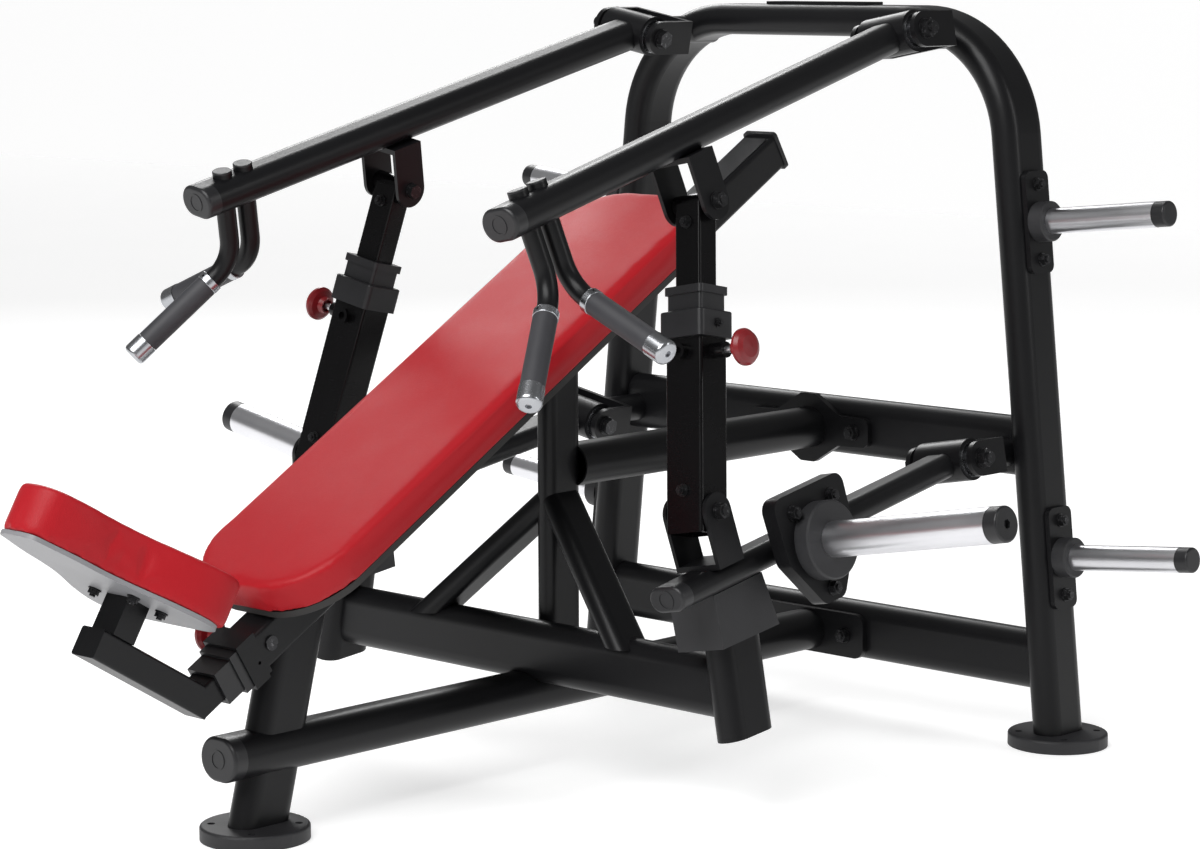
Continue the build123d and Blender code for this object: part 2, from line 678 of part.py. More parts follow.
def make_press_arm(handles):
    arm = oval_tube(ARM_W, ARM_H, WALL, 0, ARM_LEN - CAP_LEN)
    body = arm - rod(HUB_R - 1, -60, 60)
    body += Pos(0, -ARM_H / 2 - 2, B_REACH) * Box(2 * (EAR_GAP_UP + EAR_T), 8, 2 * EAR_R)
    body += ear(EAR_GAP_UP, EAR_GAP_UP + EAR_T, B_HEIGHT, -ARM_H / 2 - 3, B_REACH)
    body += ear(-EAR_GAP_UP - EAR_T, -EAR_GAP_UP, B_HEIGHT, -ARM_H / 2 - 3, B_REACH)
    body -= oval_bar(ARM_W - 2 * WALL, ARM_H - 2 * WALL, HUB_R - 6, ARM_LEN)
    body += hub()
    for solid, tube in handles:
        body -= solid
    return body


def make_grip(bend, end):
    length = (end - bend).length
    sleeve = Pos(0, 0, GRIP_START + GRIP_COLLAR) * Cylinder(
        GRIP_R, length - GRIP_CAP - GRIP_START - GRIP_COLLAR - 0.4, align=(Align.CENTER, Align.CENTER, Align.MIN))
    sleeve -= Cylinder(HANDLE_R + 0.05, 4 * length)
    return along_leg(bend, end) * sleeve


def make_grip_fittings(bend, end):
    length = (end - bend).length
    collar = Pos(0, 0, GRIP_START) * Cylinder(FITTING_R, GRIP_COLLAR - 0.4, align=(Align.CENTER, Align.CENTER, Align.MIN))
    collar = fillet(collar.edges(), 1.2)
    collar -= Cylinder(HANDLE_R + 0.05, 4 * length)
    collar -= Pos(0, 0, GRIP_START + 6) * Rot(0, 90, 0) * Cylinder(2, 100)
    cap = Pos(0, 0, length - GRIP_CAP + 0.2) * Cylinder(FITTING_R, GRIP_CAP - 0.2, align=(Align.CENTER, Align.CENTER, Align.MIN))
    cap = fillet(cap.edges().group_by(Axis.Z)[-1], 6.0)
    cap -= Pos(0, 0, length - 3) * Cylinder(4.5, 3.1, align=(Align.CENTER, Align.CENTER, Align.MIN))
    place = along_leg(bend, end)
    return [place * collar, place * cap]


GRIP_START = 38.0


def handle_plug(at):
    """Plastic plug closing the handle tube above the arm."""
    top = ARM_H / 2 + 7
    plug = Cylinder(HANDLE_R, 3, align=(Align.CENTER, Align.CENTER, Align.MIN))
    plug = fillet(plug.edges().group_by(Axis.Z)[-1], 1.5)
    plug += Pos(0, 0, -10) * Cylinder(HANDLE_R - 3.2, 11, align=(Align.CENTER, Align.CENTER, Align.MIN))
    return Pos(0, top, at) * Rot(-90, 0, 0) * plug


# strut pieces in the strut's own frame
def strut_inner():
    tube = box_bar(INNER_W, INNER_D, 0, 300, 4) - box_bar(INNER_W - 6, INNER_D - 6, 14, 310, 2)
    tube += rod(15, -EAR_GAP_UP + 0.3, EAR_GAP_UP - 0.3)
    tube -= rod(LINK_BOLT_R + LINK_CLEAR, -60, 60)
    for k in range(4):
        tube -= Pos(0, 0, STRUT_PIN_AT - 50 + 25 * k) * rod(PLUNGER_R + 0.4, 0, 60)
    return tube


def strut_outer():
    tail = STRUT_LEN + OUTER_TAIL
    tube = box_bar(OUTER_W, OUTER_D, OUTER_TOP, tail, 5)
    tube -= box_bar(OUTER_W - 2 * STRUT_WALL, OUTER_D - 2 * STRUT_WALL, OUTER_TOP - 5, tail + 5, 3)
    tube += Pos(0, 0, STRUT_PIN_AT) * rod(11, OUTER_W / 2 - 2, 56)
    tube += Pos(0, 0, STRUT_PIN_AT) * Rot(0, 0, 90) * (rod(11, OUTER_D / 2 - 1, 37) - rod(6, 31, 40))
    tube -= Pos(0, 0, STRUT_PIN_AT) * rod(PLUNGER_R + 0.05, 25, 80)
    tube -= Pos(0, 0, STRUT_LEN) * rod(LINK_BOLT_R + OPEN_PIVOT_CLEAR + 0.4, -60, 60)
    return tube


def strut_bushes():
    hole = box_bar(INNER_W + 0.4, INNER_D + 0.4, 0, 400, 4)
    bush = box_bar(69.5, 57.5, BUSH_TOP, BUSH_TOP + 11, 6)
    bush += box_bar(63, 51, BUSH_TOP + 11, OUTER_TOP - 0.2, 5)
    bush += box_bar(OUTER_W - 6.4, OUTER_D - 6.4, OUTER_TOP - 0.2, 260, 3)
    bush -= hole
    bush -= Pos(0, 0, STRUT_PIN_AT) * rod(PLUNGER_R + 0.3, 0, 60)
    collar = box_bar(79, 67, COLLAR_TOP, COLLAR_END, 8)
    collar = fillet(collar.edges().group_by(Axis.Z)[0], 2.5)
    collar -= box_bar(63.4, 51.4, COLLAR_TOP - 5, COLLAR_END, 5)
    collar -= box_bar(OUTER_W + 0.4, OUTER_D + 0.4, OUTER_TOP - 0.1, COLLAR_END + 5, 5)
    return [bush, collar]


def cross_bolt(radius, left, right, flats):
    """Bolt along X through two ears: head left, washers, nut right."""
    bolt = rod(radius, left - 8.5, right + 14)
    bolt += hex_bar(flats, left - 10, left - 2.5) + hex_bar(flats, right + 2.5, right + 12)
    bolt += rod(flats * 0.62, left - 2.5, left) + rod(flats * 0.62, right, right + 2.5)
    return bolt


def face_screw(place, size=6.0):
    """Hex screw with a washer standing on a face; place has Z outwards."""
    return place * stud(size / 2, size * 1.65, size * 0.7, size * 1.1, 0, 1.6)


def strut_bolts():
    ear_face = EAR_GAP_UP + EAR_T + WASHER_GAP
    bolts = [cross_bolt(LINK_BOLT_R, -ear_face, ear_face, 19)]
    bolts.append(face_screw(frame_at((0, INNER_D / 2, 27), (1, 0, 0), (0, 1, 0)), 8))
    bolts.append(face_screw(frame_at((0, OUTER_D / 2, STRUT_LEN - 29.5), (1, 0, 0), (0, 1, 0)), 8))
    bolts.append(face_screw(frame_at((39.5, 0, 168), (0, 0, 1), (1, 0, 0)), 6))
    return bolts


# weight lever
SHIELD = ((-77, 79), (-74, -12), (-22, -86), (22, -86), (74, -12), (77, 79))
SHIELD_BOLTS = ((-42, 52), (42, 52), (0, -68))


def shield_plate(x0, x1):
    """Shield-shaped plate across X, centred on the weight horn's axis."""
    outline = Polygon(*SHIELD, align=None)
    outline = fillet(outline.vertices(), 18)
    plate = extrude(outline, amount=x1 - x0)
    place = frame_at((x0, 0, HORN_AT), (0, 0, -1), (1, 0, 0))
    plate = place * plate
    for across, up in SHIELD_BOLTS:
        plate -= Pos(0, up, HORN_AT - across) * rod(5.1, x0 - 1, x1 + 1)
    return plate


def make_lever():
    tube = oval_tube(LEVER_W, LEVER_H, WALL, 0, LEVER_LEN - CAP_LEN)
    body = tube - rod(HUB_R - 1, -60, 60)
    body += Pos(0, LEVER_H / 2 + 2, C_REACH) * Box(2 * (EAR_GAP_LOW + EAR_T), 8, 2 * EAR_R)
    body += ear(EAR_GAP_LOW, EAR_GAP_LOW + EAR_T, C_HEIGHT, LEVER_H / 2 + 3, C_REACH)
    body += ear(-EAR_GAP_LOW - EAR_T, -EAR_GAP_LOW, C_HEIGHT, LEVER_H / 2 + 3, C_REACH)
    body += Pos(0, 0, HORN_AT) * Box(2 * SHIELD_ROOT, 28, 90, align=(Align.CENTER, Align.CENTER, Align.CENTER))
    body -= Pos(-LEVER_W / 2 - 50, 0, HORN_AT) * Box(100, 60, 120)
    body -= oval_bar(LEVER_W - 2 * WALL, LEVER_H - 2 * WALL, HUB_R - 6, LEVER_LEN)
    body += shield_plate(SHIELD_ROOT, SHIELD_ROOT + 11)
    body += hub()
    return body


def make_lever_bolts():
    bolts = [Pos(0, C_HEIGHT, C_REACH) * cross_bolt(LINK_BOLT_R, -EAR_GAP_LOW - EAR_T, EAR_GAP_LOW + EAR_T, 19)]
    for across, up in SHIELD_BOLTS:
        spot = frame_at((HORN_ROOT, up, HORN_AT - across), (0, 1, 0), (1, 0, 0))
        bolts.append(spot * stud(5.0, 16, 8, 11, HORN_ROOT - SHIELD_ROOT + 3, 2.0))
    return bolts


def make_weight_horn():
    bar = rod(HORN_R - 1, HORN_ROOT, DISC_END) + rod(HORN_R, DISC_END, HORN_END)
    return Pos(0, 0, HORN_AT) * bar


def make_horn_disc():
    disc = rod(DISC_R, DISC_ROOT, DISC_END)
    disc = chamfer(disc.edges().group_by(Axis.X)[-1], 2.5)
    disc -= rod(HORN_R - 0.8, DISC_ROOT - 5, DISC_END + 5)
    disc = Pos(0, 0, HORN_AT) * disc
    for across, up in SHIELD_BOLTS:
        disc -= Pos(0, up, HORN_AT - across) * rod(12.5, DISC_ROOT - 1, DISC_ROOT + 16)
    return disc


def make_horn_cap():
    cap = rod(HORN_R - 0.3, HORN_END, HORN_CAP_END)
    cap = fillet(cap.edges().group_by(Axis.X)[-1], 3.0)
    cap -= hex_bar(12, HORN_CAP_END - 6, HORN_CAP_END + 2)
    return Pos(0, 0, HORN_AT) * cap


# ----------------------------------------------------- pivot brackets
def make_bracket(pivot, back, outer_cut):
    """Forked bracket in the linkage frame with a round stub behind it."""
    y, up = pivot
    side = rod(26, 53, 61) + Pos(57, (back - y) / 2, 0) * Box(8, back - y, 52)
    side = Pos(0, y, up) * side
    bracket = side + mirrored(side)
    bracket += Pos(0, back - 4, up) * Box(122, 8, 52)
    stub = Pos(0, back - 4, up) * Rot(-90, 0, 0) * Cylinder(22, 4 - back + 30, align=(Align.CENTER, Align.CENTER, Align.MIN))
    bracket += stub
    bracket -= Pos(0, y, up) * rod(bore_r, -80, 80)
    placed = LINK * bracket
    for cut in outer_cut:
        placed -= cut
    return sorted(placed.solids(), key=lambda s: -s.volume)[0]


def pivot_hardware(pivot):
    """Pivot bolt with its nut, and two black spacers."""
    bolt = rod(PIVOT_R, -70, 80)
    bolt += hex_bar(24, -73, -63.5) + hex_bar(24, 63.5, 74)
    bolt += rod(15, -63.5, -61) + rod(15, 61, 63.5)
    spacers = []
    for x0, x1 in ((-52.8, -46.2), (46.2, 52.8)):
        spacers.append(rod(20, x0, x1) - rod(bore_r, x0 - 1, x1 + 1))
    place = LINK * Pos(0, pivot[0], pivot[1])
    return [place * bolt], [place * s for s in spacers]


# ------------------------------------------------------- storage horns
def store_frame(z):
    lean = radians(ARCH_SPLAY)
    return frame_at((leg_x(z), 0, z), (cos(lean), 0, sin(lean)), (-sin(lean), 0, cos(lean)))


def store_base():
    face = FRAME_THICK / 2
    plate = Pos(face + STORE_PLATE[2] / 2, 0, 0) * Box(STORE_PLATE[2], STORE_PLATE[0], STORE_PLATE[1])
    plate = fillet(plate.edges().filter_by(Axis.X), 12)
    for side in (-1, 1):
        plate -= Pos(0, 0, side * STORE_BOLT) * rod(5.1, 0, 60)
    return plate


def store_bolts():
    bolts = []
    for side in (-1, 1):
        spot = frame_at((FRAME_THICK / 2 + STORE_PLATE[2], 0, side * STORE_BOLT), (0, 1, 0), (1, 0, 0))
        bolts.append(spot * stud(5.0, 15, 7, 10, STORE_PLATE[2], 2.0))
    return bolts


def store_horn():
    root = FRAME_THICK / 2 + STORE_PLATE[2]
    return rod(STORE_R - 1, root, root + 24) + rod(STORE_R, root + 24, STORE_LEN)


def store_rubber():
    root = FRAME_THICK / 2 + STORE_PLATE[2]
    ring = rod(30, root, root + 24)
    ring = chamfer(ring.edges().group_by(Axis.X)[-1], 2)
    return ring - rod(STORE_R - 0.8, root - 1, root + 30)


def store_cap():
    cap = rod(STORE_R - 0.3, STORE_LEN, STORE_LEN + 22)
    return fillet(cap.edges().group_by(Axis.X)[-1], 3)


# ------------------------------------------------------ assemble, write
def both(shape):
    found = solids_of(shape)
    return found + [mirrored(s) for s in found]


def save_pair(name, shape):
    save(name + "_R", shape)
    save(name + "_L", [mirrored(s) for s in solids_of(shape)])


crown_plate = Pos(0, 0, ARCH_TOP_Z + FRAME_THICK / 2 + 2) * Box(200, 42, 5)
rear_low = make_rear_crossbeam(REAR_LOW_Z)
rear_high = make_rear_crossbeam(REAR_HIGH_Z)
for side in (-1, 1):
    rear_low -= Pos(side * LOW_BOLT_X, 0, SPINE_Z) * Rot(90, 0, 0) * Cylinder(6.1, 200)
    rear_high -= Pos(side * HIGH_BOLT_X, 0, UPPER_BEAM_Z) * Rot(90, 0, 0) * Cylinder(6.1, 200)

feet = [make_foot(ARCH_FOOT_X - 2, 0), make_foot(2 - ARCH_FOOT_X, 0), make_foot(0, FRONT_FOOT_Y)]
save("foot_discs", feet)
save("rear_arch", arch + crown_plate)
save("rear_beams", [rear_low, rear_high])
save("spine_beam", spine)
save("upper_beam", upper_beam)
save("front_post", front_post)
save("front_beam", front_beam)
save("centre_post", centre_post)
save("bench_rail", make_rail())
save("back_board", make_board())
save("back_pad", make_pad())

lever_under = -LEVER_H / 2 - 0.3


def under_lever(y):
    """Height of the lever's underside (with rest gap) at a given y."""
    fall = radians(LEVER_DROP)
    start_y = PIVOT_D[0] - lever_under * sin(fall)
    start_h = PIVOT_D[1] + lever_under * cos(fall)
    return start_h + (y - start_y) * tan(fall)


stop_block = LINK * side_profile(
    [STOP_FRONT, (-724, under_lever(-724)), (-622, under_lever(-622)), STOP_BACK],
    STOP_L - STOP_HALF, STOP_L + STOP_HALF)

bracket_a = make_bracket(PIVOT_A, -86.0, [arch_outer])
bracket_d = make_bracket(PIVOT_D, -103.0, [
    arch_outer,
    Pos(0, 0, REAR_HIGH_Z) * Rot(0, 90, 0) * oval_bar(FRAME_DEPTH, FRAME_THICK, -ARCH_FOOT_X, ARCH_FOOT_X),
])
save("pivot_brackets", both([bracket_a, bracket_d]))
bolt_a, spacer_a = pivot_hardware(PIVOT_A)
bolt_d, spacer_d = pivot_hardware(PIVOT_D)
save("pivot_bolts", both(bolt_a + bolt_d + spacer_a + spacer_d))

bases = []
horns = []
rubbers = []
caps = []
fixings = []
for z in STORE_Z:
    place = store_frame(z)
    bases += solids_of(place * store_base())
    horns += solids_of(place * store_horn())
    rubbers += solids_of(place * store_rubber())
    caps += solids_of(place * store_cap())
    fixings += [place * b for b in store_bolts()]
save("storage_bases", both(bases))
save("storage_horns", both(horns))
save("frame_rubbers", both(rubbers + [stop_block]))
save("frame_trim", make_rail_trim() + [make_rail_bush(), spine_cap] + both(caps))
for x, z in ((LOW_BOLT_X, SPINE_Z), (HIGH_BOLT_X, UPPER_BEAM_Z)):
    fixings.append(facing_front(x, rear_front_face - FLANGE_T, z) * stud(6, 19, 9, 12, FLANGE_T + 6, 2.5))
plug = Pos(RAIL_W / 2, RAIL_LOW + 51, RAIL_MID + 1) * (rod(10, 0, 3) - Pos(2.6, 0, 0) * Rot(40, 0, 0) * Box(2, 3, 30))
save("frame_bolts", both(fixings) + [BENCH * plug])

save("seat_carriage", make_carriage())
save("seat_plate", make_seat_plate())
save("seat_pad", make_seat_pad())
PIN_PLACE = BENCH * Pos(0, SEAT_PIN_AT, RAIL_MID) * Rot(0, 0, 180)
save("seat_bolts", make_seat_bolts())
save("seat_pin", PIN_PLACE * make_plunger(SLIDE_W / 2 + 0.8, 30, 74))
save("seat_knob", PIN_PLACE * make_knob(74))

handles = [make_handle(*line) for line in handle_paths()]
save_pair("press_arm", ARM * make_press_arm(handles))
arm_trim = [tube_cap(ARM_W, ARM_H, ARM_LEN), handle_plug(FORWARD_AT), handle_plug(OUTWARD_AT)]
save_pair("arm_trim", [ARM * s for s in arm_trim])
save_pair("handle_tubes", [ARM * tube for solid, tube in handles])
grips = [make_grip(bend, end) for top, bend, end in handle_paths()]
save_pair("handle_grips", [ARM * g for g in grips])
fittings = hub_rings()
for top, bend, end in handle_paths():
    fittings += make_grip_fittings(bend, end)
save_pair("grip_fittings", [ARM * f for f in fittings])

save_pair("strut_inner", STRUT * strut_inner())
save_pair("strut_outer", STRUT * strut_outer())
save_pair("strut_bushes", [STRUT * b for b in strut_bushes()])
save_pair("strut_bolts", [STRUT * b for b in strut_bolts()])
STRUT_PIN = STRUT * Pos(0, 0, STRUT_PIN_AT)
save_pair("strut_pin", STRUT_PIN * make_plunger(14, 33, 72))
save_pair("strut_knob", STRUT_PIN * make_knob(72))

save_pair("weight_lever", LEVER * make_lever())
lever_trim = [tube_cap(LEVER_W, LEVER_H, LEVER_LEN), make_horn_cap()]
save_pair("lever_rings", [LEVER * r for r in hub_rings()])
save_pair("lever_trim", [LEVER * s for s in lever_trim])
save_pair("lever_bolts", [LEVER * b for b in make_lever_bolts()])
save_pair("horn_plate", LEVER * shield_plate(SHIELD_ROOT + 11.2, HORN_ROOT))
save_pair("horn_disc", LEVER * make_horn_disc())
save_pair("weight_horn", LEVER * make_weight_horn())

print("strut length", round(STRUT_LEN, 2), "strut drop", round(strut_drop, 3))
print("B", B_HEIGHT, B_REACH, "C", C_HEIGHT, C_REACH)
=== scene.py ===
# %% [markdown]
# The machine arrives from the CAD step as a rigid frame: every tube, plate,
# bolt and bar is already in place and already moves with the right body.
# A looks script could rebuild all of it by hand, but then nothing would fit
# any more. So we load that frame, keep its shapes, and spend our effort on
# the upholstery, the finishes and the light.

# %% Load the machine
import bpy
import bmesh
import json
from math import radians, sin, cos
from mathutils import Matrix, Vector


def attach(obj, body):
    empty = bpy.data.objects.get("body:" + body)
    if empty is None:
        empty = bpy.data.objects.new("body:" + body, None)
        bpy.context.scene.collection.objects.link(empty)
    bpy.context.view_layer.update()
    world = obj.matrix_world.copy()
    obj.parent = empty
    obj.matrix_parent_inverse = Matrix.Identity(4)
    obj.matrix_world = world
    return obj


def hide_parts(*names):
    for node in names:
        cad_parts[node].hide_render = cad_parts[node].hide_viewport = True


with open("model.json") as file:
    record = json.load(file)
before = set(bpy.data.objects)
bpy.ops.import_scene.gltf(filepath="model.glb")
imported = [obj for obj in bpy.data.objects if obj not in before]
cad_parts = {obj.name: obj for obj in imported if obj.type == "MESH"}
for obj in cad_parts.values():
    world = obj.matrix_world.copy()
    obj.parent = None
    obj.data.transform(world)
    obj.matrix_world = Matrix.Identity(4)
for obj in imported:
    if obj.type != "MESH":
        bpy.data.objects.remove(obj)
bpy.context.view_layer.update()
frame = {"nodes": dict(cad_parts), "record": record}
nodes = frame["nodes"]
record = frame["record"]

# %% [markdown]
# A node material is a small machine of its own, and wiring it by hand is
# long-winded. It could be done with dozens of lines of links. Here one class
# stands for "a value on its way", so that 1 - mask or grain * 0.2 can be
# written as plain arithmetic, and one method makes every other node.

# %% A value on its way through a material
class Flow:
    def __init__(self, finish, socket):
        self.finish = finish
        self.socket = socket

    def _math(self, operation, first, second):
        return self.finish.node("ShaderNodeMath", {"operation": operation}, {0: first, 1: second})

    def __add__(self, other):
        return self._math("ADD", self, other)

    def __radd__(self, other):
        return self._math("ADD", other, self)

    def __sub__(self, other):
        return self._math("SUBTRACT", self, other)

    def __rsub__(self, other):
        return self._math("SUBTRACT", other, self)

    def __mul__(self, other):
        return self._math("MULTIPLY", self, other)

    def __rmul__(self, other):
        return self._math("MULTIPLY", other, self)


print("Flow ready")

# %% One finish: a material with its shader
class Finish:
    def __init__(self, name, **constants):
        self.material = bpy.data.materials.new(name)
        self.material.use_nodes = True
        self.tree = self.material.node_tree
        self.shader = self.tree.nodes["Principled BSDF"]
        for socket, value in constants.items():
            self.shader.inputs[socket.replace("_", " ")].default_value = value

    def node(self, kind, settings=None, sockets=None, out=0):
        made = self.tree.nodes.new(kind)
        for name, value in (settings or {}).items():
            if name == "stops":
                self._stops(made.color_ramp, value)
            else:
                setattr(made, name, value)
        for name, value in (sockets or {}).items():
            self._feed(made.inputs[name], value)
        return Flow(self, made.outputs[out])

    def _stops(self, ramp, stops):
        while len(ramp.elements) < len(stops):
            ramp.elements.new(0.5)
        for element, (place, colour) in zip(ramp.elements, stops):
            element.position = place
            element.color = colour

    def _feed(self, socket, value):
        if isinstance(value, Flow):
            self.tree.links.new(value.socket, socket)
        else:
            socket.default_value = value

    def feed(self, name, value):
        self._feed(self.shader.inputs[name], value)


print("Finish ready")

# %% [markdown]
# Real surfaces are never even. Powder coat has orange peel, vinyl has a
# pressed grain, chrome carries faint turning marks. Image textures would do
# it, but they need unwrapping. Noise that lives in the object's own space
# needs none, works at true scale in metres, and stays put when a part moves.

# %% Helpers that every finish uses
def place(finish, stretch=(1, 1, 1)):
    where = finish.node("ShaderNodeTexCoord", out="Object")
    return finish.node("ShaderNodeMapping", {"vector_type": "POINT"}, {"Vector": where, "Scale": stretch})


def cloudy(finish, where, scale, detail=3.0, rough=0.5):
    values = {"Vector": where, "Scale": scale, "Detail": detail, "Roughness": rough}
    return finish.node("ShaderNodeTexNoise", None, values, out="Fac")


def cells(finish, where, scale, feature="F1"):
    values = {"Vector": where, "Scale": scale}
    return finish.node("ShaderNodeTexVoronoi", {"feature": feature}, values, out="Distance")


def between(finish, value, low, high):
    stops = [(low, (0, 0, 0, 1)), (high, (1, 1, 1, 1))]
    return finish.node("ShaderNodeValToRGB", {"stops": stops}, {"Fac": value}, out="Color")


def blend_colours(finish, mask, first, second):
    return finish.node("ShaderNodeMix", {"data_type": "RGBA"}, {0: mask, 6: first, 7: second}, out=2)


def relief(finish, height, distance, strength=1.0):
    values = {"Height": height, "Distance": distance, "Strength": strength}
    finish.feed("Normal", finish.node("ShaderNodeBump", None, values))


print("helpers ready")

# %% [markdown]
# The frame is powder coated: pigment is sprayed on dry and melted in an
# oven. It leaves a hard satin skin with a fine orange peel, slightly cloudy
# in its gloss where hands and plates have rubbed it. We vary the roughness
# broadly, and press the peel in with a millimetre-sized bump.

# %% Powder coat
def powder_coat(name, dark, light, gloss, peel):
    coat = Finish(name, IOR=1.5, Coat_Roughness=0.16, Specular_IOR_Level=0.20)
    where = place(coat)
    broad = cloudy(coat, where, 5.0, 4.0)
    scuffs = between(coat, cloudy(coat, place(coat, (1, 1, 9)), 26.0, 6.0, 0.7), 0.60, 0.74)
    dust = cloudy(coat, where, 160.0, 4.0, 0.65)
    coat.feed("Base Color", blend_colours(coat, broad * 0.6 + dust * 0.25, dark, light))
    coat.feed("Roughness", gloss + broad * 0.10 + scuffs * 0.07 + dust * 0.03)
    coat.feed("Coat Weight", 0.05 - scuffs * 0.03)
    peel_height = cloudy(coat, where, 620.0, 2.0) + broad * 0.15
    relief(coat, peel_height, 0.00012, peel)
    return coat.material


frame_black = powder_coat("frame_black", (0.0035, 0.0035, 0.004, 1), (0.0075, 0.0075, 0.0085, 1), 0.32, 0.35)
strut_black = powder_coat("strut_black", (0.0012, 0.0011, 0.0013, 1), (0.0035, 0.0032, 0.0038, 1), 0.20, 0.22)
print("powder coats:", frame_black.name, strut_black.name)

# %% [markdown]
# The weight horns and pegs are chrome-plated bar, polished on a lathe. A
# perfect mirror looks fake: real plate shows fine rings round the bar and a
# few scratches along it where plates slide. The rings come from noise
# squeezed along the bar's length, which here runs close to X.

# %% Chrome
def chrome_plate():
    chrome = Finish("chrome_bar", Metallic=1.0, IOR=2.5)
    rings = cloudy(chrome, place(chrome, (900, 3, 3)), 1.0, 3.0)
    slides = between(chrome, cloudy(chrome, place(chrome, (3, 420, 420)), 1.0, 5.0, 0.7), 0.62, 0.78)
    haze = cloudy(chrome, place(chrome), 12.0, 4.0)
    chrome.feed("Base Color", blend_colours(chrome, haze, (0.66, 0.66, 0.69, 1), (0.80, 0.80, 0.82, 1)))
    chrome.feed("Roughness", 0.24 + rings * 0.06 + slides * 0.08 + haze * 0.06)
    relief(chrome, rings + slides * 0.6, 0.00002, 0.3)
    return chrome.material


chrome_bar = chrome_plate()
print("chrome:", chrome_bar.name)

# %% [markdown]
# Bolts, washers and nuts are steel with a black oxide skin: darker than
# zinc, still metallic, and worn brighter where a spanner has bitten. The
# grip collars and caps are turned aluminium, left bright.

# %% Bolt steel and turned aluminium
def dark_steel():
    steel = Finish("bolt_steel", Metallic=0.85, IOR=2.0)
    where = place(steel)
    worn = between(steel, cloudy(steel, where, 210.0, 5.0, 0.7), 0.55, 0.72)
    mottled = cloudy(steel, where, 60.0, 3.0)
    steel.feed("Base Color", blend_colours(steel, worn * 0.7, (0.028, 0.028, 0.03, 1), (0.24, 0.24, 0.25, 1)))
    steel.feed("Roughness", 0.27 + mottled * 0.16)
    relief(steel, mottled + worn * 0.5, 0.00008, 0.4)
    return steel.material


def turned_aluminium():
    metal = Finish("polished_aluminium", Metallic=1.0, IOR=1.9)
    where = place(metal)
    turned = cloudy(metal, place(metal, (260, 260, 700)), 1.0, 3.0)
    haze = cloudy(metal, where, 40.0, 3.0)
    metal.feed("Base Color", blend_colours(metal, haze, (0.34, 0.35, 0.37, 1), (0.48, 0.49, 0.51, 1)))
    metal.feed("Roughness", 0.17 + turned * 0.10 + haze * 0.07)
    relief(metal, turned, 0.00003, 0.4)
    return metal.material


bolt_steel = dark_steel()
polished_aluminium = turned_aluminium()
print("metals:", bolt_steel.name, polished_aluminium.name)

# %% [markdown]
# Stops, discs and feet are moulded rubber, the caps and bushes are nylon,
# and the grips are a soft sleeve. All are nearly black, so it is the surface
# that tells them apart: rubber is dry and dusty, nylon has a fine spark
# texture from its mould. The sleeve has close rings cut round it, which are
# not drawn here; it only gets the deepest grain.

# %% Rubber, nylon and grip sleeve
def moulded(name, dark, light, rough, grain_scale, depth):
    stuff = Finish(name, IOR=1.45)
    where = place(stuff)
    dust = cloudy(stuff, where, 18.0, 5.0, 0.6)
    grain = cloudy(stuff, where, grain_scale, 3.0, 0.6)
    stuff.feed("Base Color", blend_colours(stuff, dust * 0.8, dark, light))
    stuff.feed("Roughness", rough + dust * 0.16 + grain * 0.05)
    relief(stuff, grain + dust * 0.3, depth, 0.5)
    return stuff.material


MOULDED = (
    # name, dark, light, roughness, grain per metre, grain depth
    ("black_rubber", (0.010, 0.010, 0.011, 1), (0.030, 0.030, 0.033, 1), 0.44, 900.0, 0.00015),
    ("black_plastic", (0.007, 0.007, 0.008, 1), (0.018, 0.018, 0.020, 1), 0.30, 1300.0, 0.0001),
    ("grip_rubber", (0.020, 0.020, 0.023, 1), (0.052, 0.052, 0.058, 1), 0.46, 1000.0, 0.0002),
    ("board_black", (0.012, 0.011, 0.011, 1), (0.030, 0.028, 0.026, 1), 0.50, 500.0, 0.0002),
    ("seat_plate_grey", (0.19, 0.19, 0.20, 1), (0.25, 0.25, 0.26, 1), 0.34, 1100.0, 0.0001),
)
moulded_finishes = {row[0]: moulded(*row) for row in MOULDED}
print("moulded finishes:", ", ".join(moulded_finishes))

# %% [markdown]
# The pull knobs are cast in deep red plastic. A knob is small and handled
# often, so it gets a satin surface with hardly any coat left on it, patches
# rubbed duller still, and the faintest waviness in the moulding.

# %% Red knobs
def knob_plastic():
    knob = Finish("red_knob", IOR=1.49, Coat_Roughness=0.12)
    where = place(knob)
    swirl = cloudy(knob, where, 55.0, 4.0)
    rubbed = between(knob, cloudy(knob, where, 300.0, 5.0, 0.7), 0.58, 0.75)
    knob.feed("Base Color", blend_colours(knob, swirl, (0.13, 0.003, 0.006, 1), (0.22, 0.006, 0.009, 1)))
    knob.feed("Roughness", 0.36 + rubbed * 0.12)
    knob.feed("Coat Weight", 0.08 - rubbed * 0.06)
    relief(knob, swirl, 0.0003, 0.25)
    return knob.material


red_knob = knob_plastic()
print("knobs:", red_knob.name)
